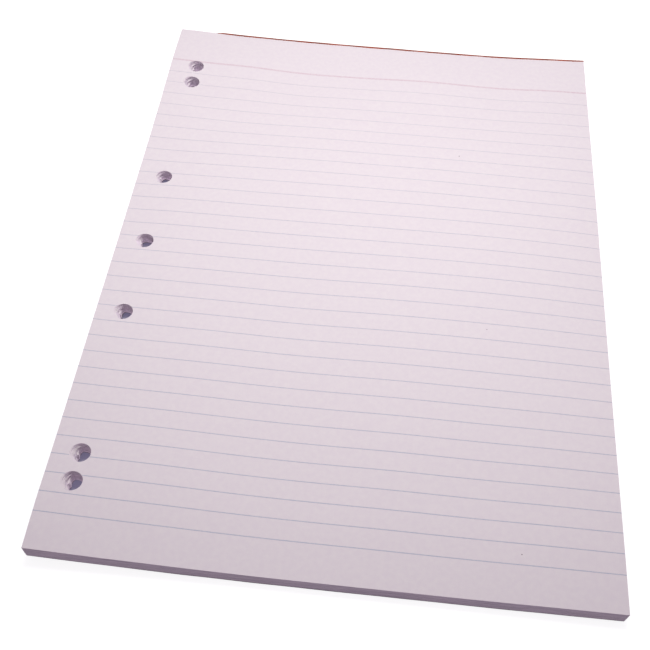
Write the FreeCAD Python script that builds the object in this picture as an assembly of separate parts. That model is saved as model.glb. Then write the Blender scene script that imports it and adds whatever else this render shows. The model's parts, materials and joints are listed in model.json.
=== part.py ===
"""A4 writing pad: ruled sheets gummed at the head on a backing board, and drilled for ring binders.

Millimetres, +Z up. The pad lies face up. X runs across the page with the drilled edge at -X, Y runs
up the page with the gummed head at +Y, and the origin is the bottom centre of the whole pad.
The pad isn't flat: its long edges curl up a little and the middle of the page swells.
"""

import FreeCAD, Part
import math
import os

# Sheets and board
sheet_width = 210.0
sheet_length = 297.0
sheet_count = 80
sheet_caliper = 0.066
board_thickness = 0.55

# Padding compound brushed over the head, a little proud of the top sheet
gum_thickness = 0.4
gum_rise = 0.4

# Curl of the long edges: the middle of the board lies flat and the sides rise in an arc
flat_strip_width = 30.0
side_lift = 2.0

# Swell of the page, highest a little towards the right and the head
page_rise = 3.6
crest_from_centre_x = 45.0
crest_from_centre_y = 23.5

# Drilling: a four-hole and a three-hole ring pattern on one line, which leans a little
hole_diameter = 8.0
hole_margin = 11.6
four_hole_spacing = 80.0
three_hole_spacing = 108.0
drill_line_offset = -0.8
drill_line_lean_deg = 0.5

# Ruling: one wide rule under the head, notched by the hole nearest the head, and narrow feint
# rules down the page
head_rule_width = 1.0
head_rule_notch = 0.7
first_rule_gap = 9.15
rule_pitch = 8.0
rule_width = 0.35
foot_margin_least = 12.0
ink_thickness = 0.08

# Points that the page surface passes through, and how far it runs past the sheet before trimming
page_points_across = 11
page_points_along = 15
trim_margin = 2.0

paper_thickness = sheet_count * sheet_caliper
pad_thickness = board_thickness + paper_thickness
half_width = sheet_width / 2
half_flat = flat_strip_width / 2
foot_y = -(sheet_length + gum_thickness) / 2
head_y = foot_y + sheet_length
curl_run = half_width - half_flat
curl_radius = (curl_run**2 + side_lift**2) / (2 * side_lift)
clear_height = pad_thickness + side_lift + page_rise + 10 * gum_rise


def curl(x):
    """Height of the curled profile above its flat strip."""
    run = max(abs(x) - half_flat, 0.0)
    return curl_radius - math.sqrt(curl_radius**2 - run**2)


def swell(x, y):
    """Height of the page's swell, nothing at the four edges and most at the crest."""
    crest_x = half_width + crest_from_centre_x
    crest_y = sheet_length / 2 + crest_from_centre_y
    from_left = min(max(x + half_width, 0.0), sheet_width)
    from_foot = min(max(y - foot_y, 0.0), sheet_length)
    across = share_of_rise(from_left, crest_x, sheet_width)
    along = share_of_rise(from_foot, crest_y, sheet_length) ** 2
    return page_rise * across * along


def share_of_rise(place, crest, length):
    """A sine hump from 0 to length that peaks at crest."""
    phase = 0.5 * place / crest if place < crest else 1 - 0.5 * (length - place) / (length - crest)
    return math.sin(math.pi * phase)


def profile_edges(z, y):
    """The curled line across the pad at height z: left arc, flat strip, right arc."""
    knee = math.asin(curl_run / curl_radius) / 2
    arc_run = half_flat + curl_radius * math.sin(knee)
    arc_rise = curl_radius * (1 - math.cos(knee))
    left_end = FreeCAD.Vector(-half_width, y, z + side_lift)
    left_mid = FreeCAD.Vector(-arc_run, y, z + arc_rise)
    left_flat = FreeCAD.Vector(-half_flat, y, z)
    right_flat = FreeCAD.Vector(half_flat, y, z)
    right_mid = FreeCAD.Vector(arc_run, y, z + arc_rise)
    right_end = FreeCAD.Vector(half_width, y, z + side_lift)
    return [
        Part.Arc(left_end, left_mid, left_flat).toShape(),
        Part.LineSegment(left_flat, right_flat).toShape(),
        Part.Arc(right_flat, right_mid, right_end).toShape(),
    ]


def curled_slab(bottom_z, top_z, y_start, length):
    """A slab between two curled profiles, drawn out along Y."""
    left_low = FreeCAD.Vector(-half_width, y_start, bottom_z + side_lift)
    left_high = FreeCAD.Vector(-half_width, y_start, top_z + side_lift)
    right_low = FreeCAD.Vector(half_width, y_start, bottom_z + side_lift)
    right_high = FreeCAD.Vector(half_width, y_start, top_z + side_lift)
    edges = profile_edges(bottom_z, y_start) + profile_edges(top_z, y_start)
    edges.append(Part.LineSegment(left_low, left_high).toShape())
    edges.append(Part.LineSegment(right_low, right_high).toShape())
    outline = Part.Wire(Part.__sortEdges__(edges))
    return Part.Face(outline).extrude(FreeCAD.Vector(0, length, 0))


def page_surface():
    """The top of the page as one smooth surface, a little larger than the sheet."""
    rows = []
    for i in range(page_points_across):
        x = -half_width - trim_margin + i * (sheet_width + 2 * trim_margin) / (page_points_across - 1)
        row = []
        for j in range(page_points_along):
            y = foot_y - trim_margin + j * (sheet_length + 2 * trim_margin) / (page_points_along - 1)
            row.append(FreeCAD.Vector(x, y, pad_thickness + curl(x) + swell(x, y)))
        rows.append(row)
    surface = Part.BSplineSurface()
    surface.interpolate(rows)
    return surface.toShape()


def hole_centres():
    """Centres of the drilled holes from foot to head, on a line that leans by a fraction of a degree."""
    reaches = [0.0, three_hole_spacing, four_hole_spacing / 2, 1.5 * four_hole_spacing]
    places = sorted({side * reach for reach in reaches for side in (-1, 1)})
    lean = math.tan(math.radians(drill_line_lean_deg))
    middle_y = foot_y + sheet_length / 2 + drill_line_offset
    return [(-half_width + hole_margin + lean * place, middle_y + place) for place in places]


def drills():
    """One round cutter for each hole, longer than the pad is thick."""
    start = -gum_rise
    cutters = []
    for x, y in hole_centres():
        foot = FreeCAD.Vector(x, y, start)
        cutters.append(Part.makeCylinder(hole_diameter / 2, clear_height - start, foot))
    return cutters


def head_rule_middle():
    """Where the wide rule lies up the page: its lower edge runs a little way into the nearest hole."""
    nearest_hole_y = max(y for x, y in hole_centres())
    return nearest_hole_y + hole_diameter / 2 - head_rule_notch + head_rule_width / 2


def blue_rule_middles():
    """Where the feint rules lie up the page, from the head down to the foot margin."""
    first = head_rule_middle() - first_rule_gap
    count = int((first - foot_y - foot_margin_least) / rule_pitch) + 1
    return [first - i * rule_pitch for i in range(count)]


def rule_bar(middle_y, width):
    """A box that keeps one rule's stretch of the ink film, flush with both sides of the sheet."""
    corner = FreeCAD.Vector(-half_width, middle_y - width / 2, 0)
    return Part.makeBox(sheet_width, width, clear_height, corner)


def make_backing_board():
    """Greyboard, curled with the pad and drilled with it."""
    return curled_slab(0, board_thickness, foot_y, sheet_length).cut(drills())


def make_paper_block(page):
    """All the sheets as one block: curled below, swollen above, drilled through."""
    block = curled_slab(board_thickness, clear_height, foot_y, sheet_length)
    above_page = page.extrude(FreeCAD.Vector(0, 0, 2 * clear_height))
    return block.cut([above_page] + drills())


def make_head_binding():
    """The strip of padding compound over the head of the sheets and the board."""
    return curled_slab(0, pad_thickness + gum_rise, head_y, gum_thickness)


def make_blue_rules(page):
    """The feint rules, as bars of ink that lie on the page and stop at the holes."""
    film = page.extrude(FreeCAD.Vector(0, 0, ink_thickness))
    return film.common([rule_bar(y, rule_width) for y in blue_rule_middles()]).cut(drills())


def make_head_rule(page):
    """The wide rule under the head."""
    film = page.extrude(FreeCAD.Vector(0, 0, ink_thickness))
    return film.common(rule_bar(head_rule_middle(), head_rule_width)).cut(drills())


def with_rules_marked(block, rules):
    """The same block, its page divided into faces along the outline of every rule."""
    return block.cut(rules)


page = page_surface()
blue_rules = make_blue_rules(page)
head_rule = make_head_rule(page)
nodes = {
    "backing_board": make_backing_board(),
    "paper_block": with_rules_marked(make_paper_block(page), [blue_rules, head_rule]),
    "head_binding": make_head_binding(),
    "blue_rules": blue_rules,
    "head_rule": head_rule,
}

os.makedirs("parts", exist_ok=True)
for name, shape in nodes.items():
    print(name, len(shape.Solids), "solids", len(shape.Faces), "faces", round(shape.Volume, 1), "mm3")
    shape.exportStep("parts/" + name + ".step")
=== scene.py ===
# Finishes a ruled writing pad: leafed paper block, printed rules, board, gummed head and a studio stage.
import json
import math

import bmesh
import bpy
from mathutils import Matrix, Vector, noise


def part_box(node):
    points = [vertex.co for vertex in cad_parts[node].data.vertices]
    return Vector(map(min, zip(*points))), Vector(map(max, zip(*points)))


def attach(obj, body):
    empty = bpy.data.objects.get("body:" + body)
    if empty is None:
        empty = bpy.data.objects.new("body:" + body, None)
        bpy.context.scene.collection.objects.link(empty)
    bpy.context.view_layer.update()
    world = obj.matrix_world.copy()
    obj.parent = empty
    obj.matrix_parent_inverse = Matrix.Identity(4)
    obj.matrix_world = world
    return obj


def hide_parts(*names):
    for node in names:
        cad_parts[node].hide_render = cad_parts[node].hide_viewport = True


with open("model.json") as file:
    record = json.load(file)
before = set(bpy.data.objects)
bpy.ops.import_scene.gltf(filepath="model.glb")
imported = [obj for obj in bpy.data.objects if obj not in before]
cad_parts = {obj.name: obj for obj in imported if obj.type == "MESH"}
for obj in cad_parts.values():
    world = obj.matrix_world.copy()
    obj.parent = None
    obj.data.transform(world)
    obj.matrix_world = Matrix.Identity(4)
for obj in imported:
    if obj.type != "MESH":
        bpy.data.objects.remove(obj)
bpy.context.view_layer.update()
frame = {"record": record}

bl_info = {
    "name": "Ruled writing pad",
    "version": (1, 0, 0),
    "blender": (4, 5, 0),
    "location": "View3D > Sidebar > Writing Pad",
    "description": "Builds a gummed, drilled and ruled writing pad and a plain studio around it",
    "category": "Add Mesh",
}

MM = 0.001
TOUCHING = 0.001 * MM

# The pad's sizes, read from the frame
board_low, board_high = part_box("backing_board")
paper_low, paper_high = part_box("paper_block")
gum_low, gum_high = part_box("head_binding")
blue_low, blue_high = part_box("blue_rules")
pink_low, pink_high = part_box("head_rule")
foot_y = paper_low[1]
head_y = paper_high[1]
half_width = paper_high[0]
sheet_width = 2 * half_width
sheet_length = head_y - foot_y
board_thickness = paper_low[2]
side_lift = board_high[2] - board_thickness
bores = [mount for mount in frame["record"]["mounts"] if mount["kind"] == "bore"]
holes = [(mount["pos_m"][0], mount["pos_m"][1]) for mount in bores]
hole_radius = bores[0]["dims"]["r_mm"] * MM
holes_middle_x = sum(x for x, y in holes) / len(holes)

# The patches of the plan round the holes, in hole radii either side of a hole
PATCH_ACROSS = 1.55
PATCH_ALONG = 1.3
HOLE_SEGMENTS = 40

# How the sheets lie inside a hole: in lifts that step further out at its left, the lowest as a tongue
HOLE_LIFTS = 9
LIFT_CROWDING = 1.7
FIRST_LIFT = 0.7
LIFT_STEEPNESS = 2.2
LIFT_ROUNDNESS = 0.9
TONGUE_DEPTH = 0.4
TONGUE_SHARE = 0.35
TONGUE_SHARPNESS = 12
TONGUE_BEARING = 158
TONGUE_SWING = 24

# Specks of dirt, in millimetres from the page's middle: across, up the page, radius
SPECKS = ((42.3, 68.7, 0.3), (55.7, -33.3, 0.22), (68.7, -130.5, 0.25))

# Bumps and hollows of the top sheets, in millimetres from the page's middle: across, up the page,
# reach across, reach along, height
RIPPLES = (
    (-104, 128, 22, 30, 1.5),
    (-68, 128, 20, 14, 1.3),
    (-38, 104, 16, 16, -0.55),
    (-64, 105, 16, 9, 0.45),
    (-62, 82, 22, 14, -0.6),
    (25, 122, 26, 22, 1.35),
    (-90, 62, 18, 16, -0.45),
    (-20, 50, 40, 24, 0.75),
    (30, 52, 20, 20, 0.4),
    (85, 122, 14, 26, 0.6),
    (100, 50, 22, 60, 0.7),
    (-103, 15, 12, 45, -0.6),
    (-70, 28, 22, 16, 0.3),
    (-22, -34, 22, 28, -0.45),
    (30, -30, 26, 60, 0.45),
    (25, -100, 24, 34, 0.65),
    (-70, -112, 34, 32, 1.2),
    (-104, -134, 16, 18, 0.6),
    (80, -108, 26, 44, 0.6),
    (-58, -60, 24, 24, 0.4),
    (75, 0, 30, 40, 0.3),
    (-35, 149, 75, 9, 0.4),
    (0, -127, 115, 14, 0.45),
)


def length(name, description, millimetres):
    """A length property with its default in millimetres."""
    return bpy.props.FloatProperty(
        name=name, description=description, default=millimetres * MM, unit="LENGTH", precision=5
    )


def colour(name, description, red, green, blue):
    """A colour property with its default as it looks on a screen, 0 to 255."""
    return bpy.props.FloatVectorProperty(
        name=name,
        description=description,
        default=(red / 255, green / 255, blue / 255),
        subtype="COLOR_GAMMA",
        min=0.0,
        max=1.0,
    )


class WritingPadShape(bpy.types.PropertyGroup):
    """Sizes of the pad that the frame doesn't give by itself."""

    flat_strip: length("Flat strip", "Width of the board's flat middle", 30.0)
    page_rise: length("Page rise", "Height of the page's swell at its crest", 3.6)
    crest_x: length("Crest across", "Place of the crest to the right of the middle", 45.0)
    crest_y: length("Crest along", "Place of the crest towards the head from the middle", 23.5)
    twist: length("Twist", "How far opposite corners rise and fall", 0.9)
    gum_rise: length("Gum rise", "How far the gum stands above the page", 0.4)
    leaf_scatter: length("Leaf scatter", "How far single leaves stand in or out at the sides", 0.09)
    leaf_count: bpy.props.IntProperty(
        name="Leaves", description="Steps that the sides of the block show", default=40, min=4
    )
    hole_slip: length("Hole slip", "How far the lower sheets show inside a hole, at its left", 2.2)
    taper: length("Taper", "How far the lowest sheet lies further in than the top one", 0.6)
    gum_lip: length("Gum lip", "How far the gum runs over the page", 0.35)
    cell: length("Cell", "Spacing of the page's mesh across the sheet", 5.0)
    ink_height: length("Ink height", "Height of a printed rule over the page", 0.03)
    rule_width: length("Rule width", "Width of a feint rule", 0.35)
    rule_pitch: length("Rule pitch", "Spacing of the feint rules", 8.0)


class WritingPadColours(bpy.types.PropertyGroup):
    """Colours of the pad, as they look under plain light."""

    paper: colour("Paper", "Face of the sheets", 237, 229, 230)
    paper_shade: colour("Paper shade", "Cloudy patches in the sheets", 234, 225, 228)
    edge: colour("Sheet edges", "Cut edges of the sheets", 240, 228, 236)
    blue_ink: colour("Blue ink", "Feint rules at the foot", 188, 193, 207)
    blue_ink_head: colour("Blue ink at the head", "Feint rules, thinner in colour at the head", 219, 213, 218)
    pink_ink: colour("Pink ink", "Wide rule under the head", 222, 202, 208)
    board: colour("Grey board", "Backing board", 128, 120, 122)
    gum: colour("Gum", "Padding compound at the head", 178, 88, 56)
    speck: colour("Speck", "Specks of dirt on the page", 120, 96, 110)


def shape():
    """The scene's shape settings."""
    return bpy.context.scene.writing_pad_shape


def colours():
    """The scene's colour settings."""
    return bpy.context.scene.writing_pad_colours


def uneven(u, v, w=0.0):
    """A smooth irregular value between -1 and 1, the same at each run."""
    return noise.noise(Vector((u, v, w)))


def curl(x):
    """Height of the board's curled sides above its flat strip."""
    half_flat = shape().flat_strip / 2
    run = half_width - half_flat
    radius = (run**2 + side_lift**2) / (2 * side_lift)
    past_flat = min(max(abs(x) - half_flat, 0.0), run)
    return radius - math.sqrt(radius**2 - past_flat**2)


def board_lift(x, y):
    """Height of the board's underside over the floor: the curl, with a twist from corner to corner."""
    across = x / half_width
    along = (y - foot_y) / sheet_length * 2 - 1
    return max(curl(x) + shape().twist * across * abs(across) * along, 0.0)


def share_of_rise(place, crest, whole):
    """A sine hump from 0 to whole that peaks at crest."""
    phase = 0.5 * place / crest if place < crest else 1 - 0.5 * (whole - place) / (whole - crest)
    return math.sin(math.pi * min(max(phase, 0.0), 1.0))


def swell(x, y):
    """Height of the page's broad swell."""
    across = share_of_rise(x + half_width, half_width + shape().crest_x, sheet_width)
    along = share_of_rise(y - foot_y, sheet_length / 2 + shape().crest_y, sheet_length)
    return shape().page_rise * across * along**2


def ripple(x, y):
    """Height of the bumps and hollows of the top sheets."""
    height = 0.0
    middle_y = (foot_y + head_y) / 2
    for across, along, reach_x, reach_y, rise in RIPPLES:
        u = (x / MM - across) / reach_x
        v = ((y - middle_y) / MM - along) / reach_y
        height += rise * MM * math.exp(-u * u - v * v)
    return height


def pad_thickness():
    """Board and sheets together, where the pad lies flat."""
    return gum_high[2] - side_lift - shape().gum_rise


def sheet_height(x, y, depth):
    """Height over the floor inside the paper block, from depth 0 at its top to 1 at the board."""
    loose = 1 - depth
    paper_thickness = pad_thickness() - board_thickness
    flat_height = board_thickness + paper_thickness * loose
    return flat_height + board_lift(x, y) + loose * (swell(x, y) + loose * ripple(x, y))


def page_height(x, y):
    """Height of the top sheet over the floor."""
    return sheet_height(x, y, 0.0)


def linear(value):
    """A screen colour as the shader sockets want it."""
    parts = [c / 12.92 if c <= 0.04045 else ((c + 0.055) / 1.055) ** 2.4 for c in value]
    return (*parts, 1.0)


def scaled(value, factor):
    """A shader colour made darker or paler."""
    return (*(min(factor * part, 1.0) for part in value[:3]), 1.0)


def cross_lines(start, end, spacing, extra):
    """Where to cut a plan across: even steps from start to end, and the extra places."""
    count = max(1, round((end - start) / spacing))
    lines = [start + (end - start) * i / count for i in range(1, count)]
    kept = [place for place in extra if start < place < end]
    lines = [line for line in lines if all(abs(line - place) > spacing / 3 for place in kept)]
    return sorted(lines + kept)


def cut_plan(bm, axis, places):
    """Cuts a flat mesh along each place on an axis."""
    normal = Vector((1, 0, 0)) if axis == 0 else Vector((0, 1, 0))
    for place in places:
        everything = bm.verts[:] + bm.edges[:] + bm.faces[:]
        bmesh.ops.bisect_plane(bm, geom=everything, dist=1e-7, plane_co=normal * place, plane_no=normal)


def rectangle(bm, x_start, x_end, y_start, y_end):
    """A flat rectangle in the plan, as one face."""
    size = Matrix.Diagonal((x_end - x_start, y_end - y_start, 1, 1))
    place = Matrix.Translation(((x_start + x_end) / 2, (y_start + y_end) / 2, 0))
    return bmesh.ops.create_grid(bm, x_segments=1, y_segments=1, size=0.5, matrix=place @ size)


def rule_middles():
    """Where the feint rules lie up the page, from the foot to the head."""
    first = blue_low[1] + shape().rule_width / 2
    last = blue_high[1] - shape().rule_width / 2
    count = round((last - first) / shape().rule_pitch)
    return [first + (last - first) * i / count for i in range(count + 1)]


def hole_patch(hole_y):
    """The patch of the plan round a hole: x start, x end, y start, y end."""
    reach_x = PATCH_ACROSS * hole_radius
    reach_y = PATCH_ALONG * hole_radius
    return holes_middle_x - reach_x, holes_middle_x + reach_x, hole_y - reach_y, hole_y + reach_y


def lines_across():
    """Where the plan is cut across the sheet: an even grid with both sides of the hole patches."""
    x_start, x_end, _, _ = hole_patch(0)
    return cross_lines(-half_width, half_width, shape().cell, [x_start, x_end])


def lines_along():
    """Where the plan is cut up the sheet: on the rules, halfway between, and at the hole patches."""
    patch_ends = [end for x, y in holes for end in hole_patch(y)[2:]]
    rules = rule_middles()
    half_step = (rules[1] - rules[0]) / 2
    rows_below, rows_above = 2, 6
    even = [rules[0] + half_step * i for i in range(-rows_below, 2 * len(rules) + rows_above)]
    wanted = [line for line in even if foot_y + half_step / 2 < line < head_y - half_step / 2]
    edge_strip = 1.5 * MM
    wanted += [foot_y + edge_strip, head_y - edge_strip]
    kept = [line for line in wanted if all(abs(line - end) > half_step / 6 for end in patch_ends)]
    return sorted(kept + patch_ends)


def drilled_plan(bm):
    """The sheet's outline as a flat mesh with round holes. Returns its rim edges."""
    rectangle(bm, -half_width, half_width, foot_y, head_y)
    cut_plan(bm, 0, lines_across())
    cut_plan(bm, 1, lines_along())
    for x, y in holes:
        x_start, x_end, y_start, y_end = hole_patch(y)
        inside = []
        for face in bm.faces:
            middle = face.calc_center_median()
            if x_start < middle.x < x_end and y_start < middle.y < y_end:
                inside.append(face)
        bmesh.ops.delete(bm, geom=inside, context="FACES")
        patch_rim = [edge for edge in bm.edges if edge.is_boundary and near_patch(edge, y)]
        place = Matrix.Translation((x, y, 0))
        circle = bmesh.ops.create_circle(
            bm, cap_ends=False, segments=HOLE_SEGMENTS, radius=hole_radius, matrix=place
        )
        ring = list({edge for vert in circle["verts"] for edge in vert.link_edges})
        bmesh.ops.bridge_loops(bm, edges=patch_rim + ring)
    return [edge for edge in bm.edges if edge.is_boundary]


def near_patch(edge, hole_y):
    """True for an edge on the border of the patch round the hole at that height up the page."""
    x_start, x_end, y_start, y_end = hole_patch(hole_y)
    margin = 0.1 * MM
    middle = (edge.verts[0].co + edge.verts[1].co) / 2
    across = x_start - margin < middle.x < x_end + margin
    return across and y_start - margin < middle.y < y_end + margin


def nearest_hole(point):
    """The hole that a rim point belongs to, or None on the outline."""
    for x, y in holes:
        if math.hypot(point.x - x, point.y - y) < 1.1 * hole_radius:
            return x, y
    return None


def hole_step(home, hole, depth):
    """How far a sheet stands off the round hole: in lifts at the left, with a tongue, and a little loose."""
    level = min(math.floor(depth * HOLE_LIFTS * LIFT_CROWDING + FIRST_LIFT), HOLE_LIFTS) / HOLE_LIFTS
    away = Vector((home.x - hole[0], home.y - hole[1], 0)).normalized()
    turn = uneven(hole[1] * 23, 1.7)
    sway = uneven(hole[1] * 23, level * 4.1)
    slope = 0.35 + 0.4 * turn + 0.5 * sway
    leftness = max(-away.dot(Vector((1.0, slope, 0)).normalized()), 0.0)
    inwards = shape().hole_slip * (1 - (1 - level) ** LIFT_STEEPNESS) * leftness**LIFT_ROUNDNESS
    bearing = math.radians(TONGUE_BEARING + TONGUE_SWING * turn)
    near = max(away.x * math.cos(bearing) + away.y * math.sin(bearing), 0.0)
    if depth > TONGUE_DEPTH:
        inwards += TONGUE_SHARE * shape().hole_slip * near**TONGUE_SHARPNESS
    fine = uneven(home.x * 500, home.y * 500, depth * 31)
    sheet = uneven(depth * 173, hole[1] * 31)
    loose = (0.2 * fine + 0.25 * sheet) * MM * min(depth * 8, 1.0)
    return -away * (inwards + loose)


def sheet_offset(home, depth):
    """How far the rim of a sheet stands off the plan: loose leaves and a taper outside, lifts in a hole."""
    hole = nearest_hole(home)
    if hole:
        return hole_step(home, hole, depth)
    at_side = abs(abs(home.x) - half_width) < TOUCHING
    at_foot = abs(home.y - foot_y) < TOUCHING
    scatter = shape().leaf_scatter if 0 < depth < 1 else 0.0
    wander = uneven(home.x * 14, home.y * 14, depth * 150)
    single = uneven(depth * 211, 0.7)
    out = scatter * (0.7 * wander + 0.9 * single)
    offset = Vector((0, 0, 0))
    if at_side:
        offset.x = math.copysign(1, home.x) * (out - shape().taper * depth)
    if at_foot:
        offset.y = -out
    return offset


def board_offset(home, depth):
    """The board's rim lies a little further in than the lowest sheet, and its holes follow the sheets'."""
    hole = nearest_hole(home)
    if hole:
        return hole_step(home, hole, 1.0)
    rough = 0.1 * MM * uneven(home.x * 60, home.y * 60, depth)
    offset = Vector((0, 0, 0))
    if abs(abs(home.x) - half_width) < TOUCHING:
        offset.x = math.copysign(1, home.x) * (rough - shape().taper)
    if abs(home.y - foot_y) < TOUCHING:
        offset.y = 0.15 * MM - rough
    return offset


def leafed_block(bm, leaves, offset):
    """A drilled block whose sides step in and out with its leaves. Depth runs from z 0 down to z -1."""
    home = bm.verts.layers.float_vector.new("home")
    rim = drilled_plan(bm)
    top_faces = bm.faces[:]
    for face in top_faces:
        if face.normal.z < 0:
            face.normal_flip()
    for vert in bm.verts:
        vert[home] = vert.co
    copy = bmesh.ops.duplicate(bm, geom=top_faces)
    under = [item for item in copy["geom"] if isinstance(item, bmesh.types.BMFace)]
    under_verts = [item for item in copy["geom"] if isinstance(item, bmesh.types.BMVert)]
    bmesh.ops.reverse_faces(bm, faces=under)
    for vert in under_verts:
        vert.co = vert[home] + Vector((0, 0, -1))
        if vert.is_boundary:
            vert.co += offset(vert[home], 1.0)
    for vert in {vert for edge in rim for vert in edge.verts}:
        vert.co += offset(vert[home], 0.0)
    for leaf in range(leaves):
        if leaf:
            rim = lowered_rim(bm, rim, home, leaf / leaves, offset, leaf / leaves)
        rim = lowered_rim(bm, rim, home, leaf / leaves, offset, (leaf + 1) / leaves)
    lowered_rim(bm, rim, home, 1.0, offset, 1.0)
    bmesh.ops.remove_doubles(bm, verts=bm.verts, dist=1e-7)


def lowered_rim(bm, rim, home, leaf_depth, offset, depth):
    """Draws the rim on to the next step of the sides, at a depth, offset as its leaf is.

    Returns the new rim.
    """
    made = bmesh.ops.extrude_edge_only(bm, edges=rim)["geom"]
    for item in made:
        if isinstance(item, bmesh.types.BMVert):
            item.co = item[home] + offset(item[home], leaf_depth) + Vector((0, 0, -depth))
    return [item for item in made if isinstance(item, bmesh.types.BMEdge)]


def finished(bm, name, node, materials):
    """Writes a mesh object that stands for a node of the frame and rides with the pad."""
    mesh = bpy.data.meshes.new(name)
    bm.to_mesh(mesh)
    bm.free()
    piece = bpy.data.objects.new(name, mesh)
    bpy.context.scene.collection.objects.link(piece)
    for material in materials:
        mesh.materials.append(material)
    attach(piece, "root")
    if node:
        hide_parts(node)
    return piece


def build_paper_block():
    """The sheets as one block with stepped sides, a swollen and rippled page and slipped holes."""
    bm = bmesh.new()
    leafed_block(bm, shape().leaf_count, sheet_offset)
    for vert in bm.verts:
        vert.co.z = sheet_height(vert.co.x, vert.co.y, -vert.co.z)
    bmesh.ops.recalc_face_normals(bm, faces=bm.faces)
    for face in bm.faces:
        on_side = abs(face.normal.z) < 0.9 or face.calc_area() < 0.2 * MM * MM
        face.material_index = 1 if on_side else 0
        face.smooth = not on_side
    for edge in bm.edges:
        if len({face.material_index for face in edge.link_faces}) > 1:
            edge.smooth = False
    return finished(bm, "paper_sheets", "paper_block", [paper_material(), sheet_edge_material()])


def build_board():
    """The grey backing board, curled with the pad."""
    bm = bmesh.new()
    leafed_block(bm, 3, board_offset)
    for vert in bm.verts:
        vert.co.z = board_thickness * (1 + vert.co.z) + board_lift(vert.co.x, vert.co.y)
    bmesh.ops.recalc_face_normals(bm, faces=bm.faces)
    return finished(bm, "grey_board", "backing_board", [board_material()])


def gum_top(x):
    """Height of the gum's upper edge: over the page, but below the sheets where they lift at the left."""
    hidden_to, fade, hidden_rise = 12, 10, -1.0 * MM
    from_left = (x + half_width) / MM
    shown = min(max((from_left - hidden_to) / fade, 0.0), 1.0)
    wave = 0.12 * MM * uneven(x * 60, 1.3)
    rise = hidden_rise + (shape().gum_rise - hidden_rise) * shown + wave * shown
    return page_height(x, head_y) + rise


def build_gum():
    """The strip of padding compound over the head of the sheets and the board, with a lip on the page."""
    bm = bmesh.new()
    lip = shape().gum_lip
    seam = 0.02 * MM
    lip_height, lip_sunk, lip_thinnest = 0.12 * MM, 0.04 * MM, 0.02 * MM
    rounding = 0.1 * MM
    rows = 5
    rectangle(bm, -half_width, half_width, head_y - lip, gum_high[1])
    cut_plan(bm, 0, cross_lines(-half_width, half_width, shape().cell / 3, []))
    cut_plan(bm, 1, [head_y - seam, head_y, head_y + 0.6 * (gum_high[1] - head_y)])
    base = bm.faces[:]
    made = bmesh.ops.extrude_face_region(bm, geom=base)["geom"]
    bmesh.ops.reverse_faces(bm, faces=base)
    crown = [item for item in made if isinstance(item, bmesh.types.BMVert)]
    bmesh.ops.translate(bm, verts=crown, vec=(0, 0, 1))
    for i in range(1, rows):
        everything = bm.verts[:] + bm.edges[:] + bm.faces[:]
        level = Vector((0, 0, i / rows))
        bmesh.ops.bisect_plane(bm, geom=everything, dist=1e-7, plane_co=level, plane_no=(0, 0, 1))
    for vert in bm.verts:
        x, y, share = vert.co
        high = gum_top(x)
        low = board_lift(x, head_y)
        if y < head_y - seam / 2:
            page = page_height(x, y)
            low = min(page - lip_sunk, high - lip_thinnest)
            high = max(min(high, page + lip_height), low + lip_thinnest)
        if y < head_y - 2 * seam:
            vert.co.y += 0.8 * lip * max(uneven(x * 90, 5.0), -0.4)
        if y > gum_high[1] - 1.2 * rounding:
            high -= rounding
            vert.co.y += rounding * min(uneven(x * 45, share * 1.5, 2.0), 0.0)
        vert.co.z = low + (high - low) * share
    bmesh.ops.recalc_face_normals(bm, faces=bm.faces)
    return finished(bm, "head_gum", "head_binding", [gum_material()])


def rule_stretches(middle_y, width):
    """The stretches of a rule between the sheet's sides and any hole that cuts right through it."""
    stretches = [(-half_width, half_width)]
    for x, y in holes:
        off = max(abs(middle_y - y) - width / 4, 0.0)
        if abs(middle_y - y) + width / 2 < hole_radius:
            half_gap = math.sqrt(hole_radius**2 - off**2)
            stretches = [
                part
                for start, end in stretches
                for part in ((start, min(end, x - half_gap)), (max(start, x + half_gap), end))
                if part[1] - part[0] > 0.2 * MM
            ]
    return stretches


def notch_lines(middle_y, width):
    """Where a rule is cut across for the notch that a hole leaves in it when it only grazes the rule."""
    steps = 8
    grazing = [x for x, y in holes if abs(abs(middle_y - y) - hole_radius) < width / 2]
    return [x + hole_radius * step / steps for x in grazing for step in range(-steps, steps + 1)]


def off_the_hole(x, y, middle_y):
    """Where a point of a rule lies up the page, once moved out of any hole that it lies over."""
    for hole_x, hole_y in holes:
        reach = math.sqrt(max(hole_radius**2 - (x - hole_x) ** 2, 0.0))
        if abs(y - hole_y) < reach:
            return hole_y + math.copysign(reach, middle_y - hole_y)
    return y


def print_rule(bm, middle_y, width):
    """One printed rule, as a thin ribbon on the page that stops at the holes."""
    cuts = sorted(lines_across() + notch_lines(middle_y, width))
    for start, end in rule_stretches(middle_y, width):
        ribbon = bmesh.new()
        rectangle(ribbon, start, end, middle_y - width / 2, middle_y + width / 2)
        cut_plan(ribbon, 0, [line for line in cuts if start + TOUCHING < line < end - TOUCHING])
        under = ribbon.faces[:]
        made = bmesh.ops.extrude_face_region(ribbon, geom=under)["geom"]
        bmesh.ops.reverse_faces(ribbon, faces=under)
        crown = [item for item in made if isinstance(item, bmesh.types.BMVert)]
        bmesh.ops.translate(ribbon, verts=crown, vec=(0, 0, shape().ink_height))
        for vert in ribbon.verts:
            vert.co.y = off_the_hole(vert.co.x, vert.co.y, middle_y)
            vert.co.z += page_height(vert.co.x, vert.co.y)
        bmesh.ops.recalc_face_normals(ribbon, faces=ribbon.faces)
        mesh = bpy.data.meshes.new("ribbon")
        ribbon.to_mesh(mesh)
        ribbon.free()
        bm.from_mesh(mesh)
        bpy.data.meshes.remove(mesh)


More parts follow.
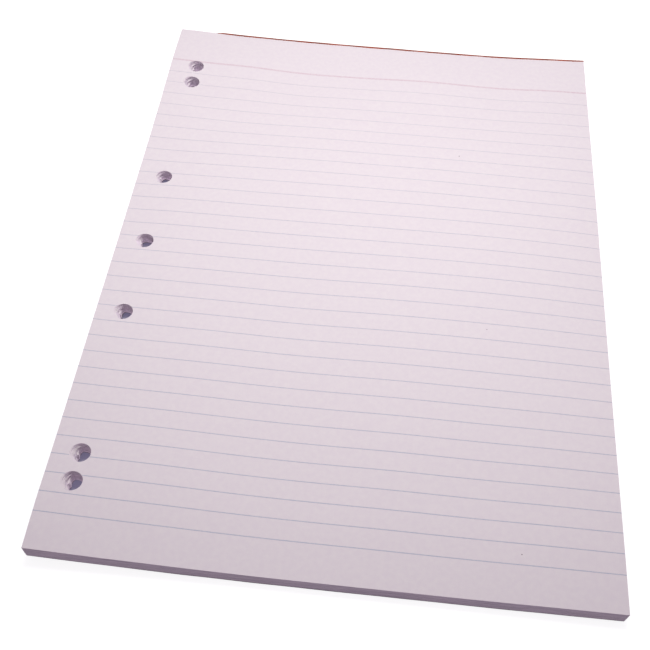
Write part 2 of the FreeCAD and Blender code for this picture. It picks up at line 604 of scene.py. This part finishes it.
def build_blue_rules():
    """All the feint rules as one piece."""
    bm = bmesh.new()
    for middle_y in rule_middles():
        print_rule(bm, middle_y, shape().rule_width)
    material = ink_material("blue_ink", colours().blue_ink, colours().blue_ink_head, 0.25)
    return finished(bm, "feint_rules", "blue_rules", [material])


def build_head_rule():
    """The wide pale rule under the head."""
    bm = bmesh.new()
    middle_y = (pink_low[1] + pink_high[1]) / 2
    print_rule(bm, middle_y, pink_high[1] - pink_low[1])
    material = ink_material("pink_ink", colours().pink_ink, colours().pink_ink, 0.4)
    return finished(bm, "wide_head_rule", "head_rule", [material])


def build_specks():
    """A few specks of dirt on the page."""
    bm = bmesh.new()
    speck_height, sunk = 0.06 * MM, 0.02 * MM
    for across, along, radius in SPECKS:
        x, y, wide = across * MM, along * MM, radius * MM
        bmesh.ops.create_cone(
            bm,
            cap_ends=True,
            segments=9,
            radius1=wide,
            radius2=0.7 * wide,
            depth=speck_height,
            matrix=Matrix.Translation((x, y, page_height(x, y) + speck_height / 2 - sunk)),
        )
    material = ink_material("dirt", colours().speck, colours().speck, 0.4)
    return finished(bm, "specks", None, [material])


class Finish:
    """A material under construction: its node tree and the plain steps that build it."""

    def __init__(self, name, roughness):
        self.material = bpy.data.materials.new(name)
        self.material.use_nodes = True
        self.nodes = self.material.node_tree.nodes
        self.links = self.material.node_tree.links
        self.shader = self.nodes["Principled BSDF"]
        self.shader.inputs["Roughness"].default_value = roughness
        self.coordinates = self.nodes.new("ShaderNodeTexCoord")

    def stretched(self, x, y, z):
        """Object coordinates scaled along each axis."""
        mapping = self.nodes.new("ShaderNodeMapping")
        mapping.inputs["Scale"].default_value = (x, y, z)
        self.links.new(self.coordinates.outputs["Object"], mapping.inputs["Vector"])
        return mapping.outputs["Vector"]

    def cloud(self, where, scale, detail):
        """A soft noise pattern from 0 to 1."""
        texture = self.nodes.new("ShaderNodeTexNoise")
        texture.inputs["Scale"].default_value = scale
        texture.inputs["Detail"].default_value = detail
        self.links.new(where, texture.inputs["Vector"])
        return texture.outputs["Fac"]

    def ramp(self, factor, start, end, low, high):
        """A colour that runs from low to high while factor runs from start to end."""
        ramp = self.nodes.new("ShaderNodeValToRGB")
        ramp.color_ramp.elements[0].position = start
        ramp.color_ramp.elements[0].color = low
        ramp.color_ramp.elements[1].position = end
        ramp.color_ramp.elements[1].color = high
        self.links.new(factor, ramp.inputs["Fac"])
        return ramp.outputs["Color"]

    def up_the_page(self):
        """0 at the foot edge and 1 at the head."""
        parts = self.nodes.new("ShaderNodeSeparateXYZ")
        self.links.new(self.coordinates.outputs["Object"], parts.inputs[0])
        span = self.nodes.new("ShaderNodeMapRange")
        span.inputs["From Min"].default_value = foot_y
        span.inputs["From Max"].default_value = head_y
        self.links.new(parts.outputs["Y"], span.inputs["Value"])
        return span.outputs["Result"]

    def blend(self, mode, amount, under, over):
        """Two colours mixed in a blend mode. Each may be a plain value or another node's output."""
        mix = self.nodes.new("ShaderNodeMix")
        mix.data_type = "RGBA"
        mix.blend_type = mode
        for place, value in ((0, amount), (6, under), (7, over)):
            if isinstance(value, (float, tuple)):
                mix.inputs[place].default_value = value
            else:
                self.links.new(value, mix.inputs[place])
        return mix.outputs[2]

    def paint(self, value):
        """Gives the shader its colour."""
        self.links.new(value, self.shader.inputs["Base Color"])

    def bump(self, height, strength, distance):
        """Gives the surface a fine relief."""
        bump = self.nodes.new("ShaderNodeBump")
        bump.inputs["Strength"].default_value = strength
        bump.inputs["Distance"].default_value = distance
        self.links.new(height, bump.inputs["Height"])
        self.links.new(bump.outputs["Normal"], self.shader.inputs["Normal"])


def paper_material():
    """Uncoated writing paper: faint cloudy formation and a fine tooth."""
    finish = Finish("writing_paper", 0.85)
    where = finish.stretched(1, 1, 1)
    clouds = finish.cloud(where, 480, 4)
    finish.paint(finish.ramp(clouds, 0.35, 0.68, linear(colours().paper_shade), linear(colours().paper)))
    finish.bump(finish.cloud(where, 2000, 3), 0.4, 0.06 * MM)
    finish.shader.inputs["Specular IOR Level"].default_value = 0.3
    return finish.material


def sheet_edge_material():
    """Cut edges of the sheets: thin layered streaks that run along the sides, in darker and paler quires."""
    finish = Finish("cut_sheet_edges", 0.9)
    layers = finish.cloud(finish.stretched(30, 30, 14000), 1, 2)
    edge = linear(colours().edge)
    dark = scaled(edge, 0.86)
    quires = finish.cloud(finish.stretched(60, 60, 1800), 1, 2)
    shade = finish.ramp(quires, 0.35, 0.62, (0.8, 0.8, 0.82, 1), (1, 1, 1, 1))
    streaks = finish.ramp(layers, 0.35, 0.6, dark, edge)
    finish.paint(finish.blend("MULTIPLY", 1.0, streaks, shade))
    finish.bump(layers, 0.4, 0.05 * MM)
    finish.shader.inputs["Specular IOR Level"].default_value = 0.2
    return finish.material


def ink_material(name, ink_at_foot, ink_at_head, unevenness):
    """Printing ink soaked into the paper, a little broken along the line and paler towards the head."""
    finish = Finish(name, 0.8)
    where = finish.stretched(1, 1, 1)
    full = finish.ramp(finish.up_the_page(), 0.0, 1.0, linear(ink_at_foot), linear(ink_at_head))
    thin = finish.ramp(finish.cloud(where, 900, 3), 0.35, 0.65, (0, 0, 0, 1), (unevenness,) * 3 + (1.0,))
    finish.paint(finish.blend("MIX", thin, full, linear(colours().paper)))
    finish.shader.inputs["Specular IOR Level"].default_value = 0.3
    return finish.material


def board_material():
    """Grey board made from waste paper: flecked and dull."""
    finish = Finish("grey_board", 0.92)
    where = finish.stretched(1, 1, 1)
    board = linear(colours().board)
    dark = scaled(board, 0.72)
    pale = scaled(board, 1.35)
    ground = finish.ramp(finish.cloud(where, 90, 5), 0.3, 0.7, dark, board)
    flecks = finish.ramp(finish.cloud(where, 1400, 2), 0.6, 0.72, (1, 1, 1, 1), pale)
    finish.paint(finish.blend("MULTIPLY", 0.6, ground, flecks))
    finish.bump(finish.cloud(where, 1100, 4), 0.5, 0.08 * MM)
    finish.shader.inputs["Specular IOR Level"].default_value = 0.2
    return finish.material


def gum_material():
    """Dried padding compound: red-brown, rubbery and uneven."""
    finish = Finish("padding_compound", 0.5)
    where = finish.stretched(1, 1, 1)
    gum = linear(colours().gum)
    dark = scaled(gum, 0.55)
    finish.paint(finish.ramp(finish.cloud(where, 120, 4), 0.3, 0.65, dark, gum))
    finish.bump(finish.cloud(where, 700, 3), 0.5, 0.1 * MM)
    return finish.material


def build_stage():
    """Floor, world, lamps and camera."""
    build_floor()
    build_world()
    build_lamps()
    build_camera()
    view = bpy.context.scene.view_settings
    view.view_transform = "Standard"


def build_floor():
    """A large pale floor that turns white to the camera and keeps the pad's shadow, just clear of the pad."""
    bm = bmesh.new()
    half_size, drop = 4.0, 0.05 * MM
    just_below = Matrix.Translation((0, 0, -drop))
    bmesh.ops.create_grid(bm, x_segments=1, y_segments=1, size=half_size, matrix=just_below)
    mesh = bpy.data.meshes.new("studio_floor")
    bm.to_mesh(mesh)
    bm.free()
    floor = bpy.data.objects.new("studio_floor", mesh)
    bpy.context.scene.collection.objects.link(floor)
    mesh.materials.append(floor_material())


def larger(nodes, links, one, other):
    """The larger of two values."""
    choice = nodes.new("ShaderNodeMath")
    choice.operation = "MAXIMUM"
    links.new(one, choice.inputs[0])
    links.new(other, choice.inputs[1])
    return choice.outputs[0]


def added(nodes, links, one, other):
    """Two shaders added together."""
    both = nodes.new("ShaderNodeAddShader")
    links.new(one, both.inputs[0])
    links.new(other, both.inputs[1])
    return both.outputs[0]


def mixed(nodes, links, share, one, other):
    """The first shader where share is 0 and the other where it is 1."""
    either = nodes.new("ShaderNodeMixShader")
    links.new(share, either.inputs[0])
    links.new(one, either.inputs[1])
    links.new(other, either.inputs[2])
    return either.outputs[0]


def seen_directly(nodes, links):
    """1 for rays from the camera and for mirrored or refracted ones, 0 for light that bounces."""
    path = nodes.new("ShaderNodeLightPath")
    mirrored = larger(nodes, links, path.outputs["Is Glossy Ray"], path.outputs["Is Transmission Ray"])
    return larger(nodes, links, path.outputs["Is Camera Ray"], mirrored)


def floor_material():
    """Pale paint, white to the camera under the pad's shadow, with a soft bounced light, a painted glow under
    the pad that lights its holes and underside from below, a faint painted navy glow in the hole bottoms, and
    clear from below.
    """
    material = bpy.data.materials.new("studio_floor")
    material.use_nodes = True
    nodes = material.node_tree.nodes
    links = material.node_tree.links
    nodes.remove(nodes["Principled BSDF"])
    dark = (0, 0, 0, 1)
    soft = nodes.new("ShaderNodeBsdfDiffuse")
    soft.inputs["Color"].default_value = (0.42, 0.38, 0.45, 1)
    # Painted light: under the pad the floor glows for bounced rays, though it is no lamp, and lights the hole
    # walls and the underside from below
    under_pad_glow = nodes.new("ShaderNodeEmission")
    links.new(outside_pad(nodes, links, dark, (0.75, 0.68, 0.82, 1)), under_pad_glow.inputs["Color"])
    bounce_and_under_glow = added(nodes, links, soft.outputs[0], under_pad_glow.outputs[0])
    shadow = nodes.new("ShaderNodeBsdfDiffuse")
    shadow.inputs["Color"].default_value = (0.42, 0.42, 0.42, 1)
    # To the camera the floor glows white outside the pad; under it a faint painted navy glow stands in for
    # the dim light at the bottoms of the holes
    glow = nodes.new("ShaderNodeEmission")
    links.new(outside_pad(nodes, links, (0.84, 0.84, 0.84, 1), (0.07, 0.065, 0.13, 1)), glow.inputs["Color"])
    pale = added(nodes, links, shadow.outputs[0], glow.outputs[0])
    from_above = mixed(nodes, links, seen_directly(nodes, links), bounce_and_under_glow, pale)
    clear = nodes.new("ShaderNodeBsdfTransparent")
    sides = nodes.new("ShaderNodeNewGeometry")
    paint = mixed(nodes, links, sides.outputs["Backfacing"], from_above, clear.outputs[0])
    links.new(paint, nodes["Material Output"].inputs["Surface"])
    return material


def outside_pad(nodes, links, outside, under):
    """One colour outside the pad's own outline, and another under it, where only its holes look down."""
    edge_cover = 2 * MM
    where = nodes.new("ShaderNodeTexCoord")
    parts = nodes.new("ShaderNodeSeparateXYZ")
    links.new(where.outputs["Object"], parts.inputs[0])
    sides = []
    for axis, reach in (("X", half_width - edge_cover), ("Y", -foot_y - edge_cover)):
        size = nodes.new("ShaderNodeMath")
        size.operation = "ABSOLUTE"
        links.new(parts.outputs[axis], size.inputs[0])
        beyond = nodes.new("ShaderNodeMath")
        beyond.operation = "GREATER_THAN"
        beyond.inputs[1].default_value = reach
        links.new(size.outputs[0], beyond.inputs[0])
        sides.append(beyond.outputs[0])
    choice = nodes.new("ShaderNodeMix")
    choice.data_type = "RGBA"
    choice.inputs[6].default_value = under
    choice.inputs[7].default_value = outside
    links.new(larger(nodes, links, *sides), choice.inputs[0])
    return choice.outputs[2]


def build_world():
    """White behind the pad, and a weak cool light from all round."""
    world = bpy.data.worlds.new("studio_world")
    bpy.context.scene.world = world
    world.use_nodes = True
    nodes = world.node_tree.nodes
    links = world.node_tree.links
    around = nodes["Background"]
    around.inputs["Color"].default_value = (0.96, 0.86, 1.0, 1)
    around.inputs["Strength"].default_value = 0.35
    behind = nodes.new("ShaderNodeBackground")
    behind.inputs["Color"].default_value = (1, 1, 1, 1)
    behind.inputs["Strength"].default_value = 1.0
    sky = mixed(nodes, links, seen_directly(nodes, links), around.outputs[0], behind.outputs[0])
    links.new(sky, nodes["World Output"].inputs["Surface"])


def build_lamps():
    """One soft lamp over the head, whose pool of light ends past the foot."""
    lamp = bpy.data.lights.new("head_lamp", "SPOT")
    lamp.shadow_soft_size = 0.12
    lamp.spot_size = math.radians(94)
    lamp.spot_blend = 1.0
    lamp.energy = 7.5
    place = bpy.data.objects.new("head_lamp", lamp)
    place.location = (0.0, 0.085, 0.5)
    bpy.context.scene.collection.objects.link(place)


def build_camera():
    """The camera at the photograph's place: close, above the foot and turned a little."""
    view = bpy.data.cameras.new("studio_camera")
    view.sensor_width = 36.0
    view.lens = 56.0
    view.clip_start = 0.01
    camera = bpy.data.objects.new("studio_camera", view)
    stands_at = Vector((7.0, -290.7, 336.3)) * MM
    looks_at = Vector((-10.4, -38.2, 8.0)) * MM
    lean_deg = 2.36
    level = (looks_at - stands_at).to_track_quat("-Z", "Y").to_matrix().to_4x4()
    roll = Matrix.Rotation(math.radians(lean_deg), 4, "Z")
    camera.location = stands_at
    camera.rotation_euler = (level @ roll).to_euler()
    bpy.context.scene.collection.objects.link(camera)
    bpy.context.scene.camera = camera


class WRITINGPAD_OT_paper_block(bpy.types.Operator):
    """Add the block of ruled sheets"""

    bl_idname = "writingpad.paper_block"
    bl_label = "Paper Block"

    def execute(self, context):
        build_paper_block()
        return {"FINISHED"}


class WRITINGPAD_OT_rules(bpy.types.Operator):
    """Print the feint rules and the head rule on the page"""

    bl_idname = "writingpad.rules"
    bl_label = "Printed Rules"

    def execute(self, context):
        build_blue_rules()
        build_head_rule()
        build_specks()
        return {"FINISHED"}


class WRITINGPAD_OT_board(bpy.types.Operator):
    """Add the grey backing board"""

    bl_idname = "writingpad.board"
    bl_label = "Backing Board"

    def execute(self, context):
        build_board()
        return {"FINISHED"}


class WRITINGPAD_OT_gum(bpy.types.Operator):
    """Add the padding compound along the head"""

    bl_idname = "writingpad.gum"
    bl_label = "Head Gum"

    def execute(self, context):
        build_gum()
        return {"FINISHED"}


class WRITINGPAD_OT_stage(bpy.types.Operator):
    """Add the floor, the light and the camera"""

    bl_idname = "writingpad.stage"
    bl_label = "Studio Stage"

    def execute(self, context):
        build_stage()
        return {"FINISHED"}


class WRITINGPAD_PT_panel(bpy.types.Panel):
    """Lists the pad's settings and the steps that build it"""

    bl_idname = "WRITINGPAD_PT_panel"
    bl_label = "Writing Pad"
    bl_space_type = "VIEW_3D"
    bl_region_type = "UI"
    bl_category = "Writing Pad"

    def draw(self, context):
        layout = self.layout
        for group in (context.scene.writing_pad_shape, context.scene.writing_pad_colours):
            box = layout.box()
            for name in group.bl_rna.properties.keys():
                if name not in ("rna_type", "name"):
                    box.prop(group, name)
        for operator in OPERATORS:
            layout.operator(operator.bl_idname)


OPERATORS = (
    WRITINGPAD_OT_stage,
    WRITINGPAD_OT_paper_block,
    WRITINGPAD_OT_rules,
    WRITINGPAD_OT_board,
    WRITINGPAD_OT_gum,
)
CLASSES = (WritingPadShape, WritingPadColours) + OPERATORS + (WRITINGPAD_PT_panel,)


def register():
    """Adds the settings, the steps and the panel to Blender."""
    for item in CLASSES:
        bpy.utils.register_class(item)
    bpy.types.Scene.writing_pad_shape = bpy.props.PointerProperty(type=WritingPadShape)
    bpy.types.Scene.writing_pad_colours = bpy.props.PointerProperty(type=WritingPadColours)


def unregister():
    """Takes them out again."""
    del bpy.types.Scene.writing_pad_colours
    del bpy.types.Scene.writing_pad_shape
    for item in reversed(CLASSES):
        bpy.utils.unregister_class(item)


def main():
    """Builds the stage and every piece of the pad."""
    register()
    bpy.ops.writingpad.stage()
    bpy.ops.writingpad.paper_block()
    bpy.ops.writingpad.rules()
    bpy.ops.writingpad.board()
    bpy.ops.writingpad.gum()


if __name__ == "__main__":
    main()
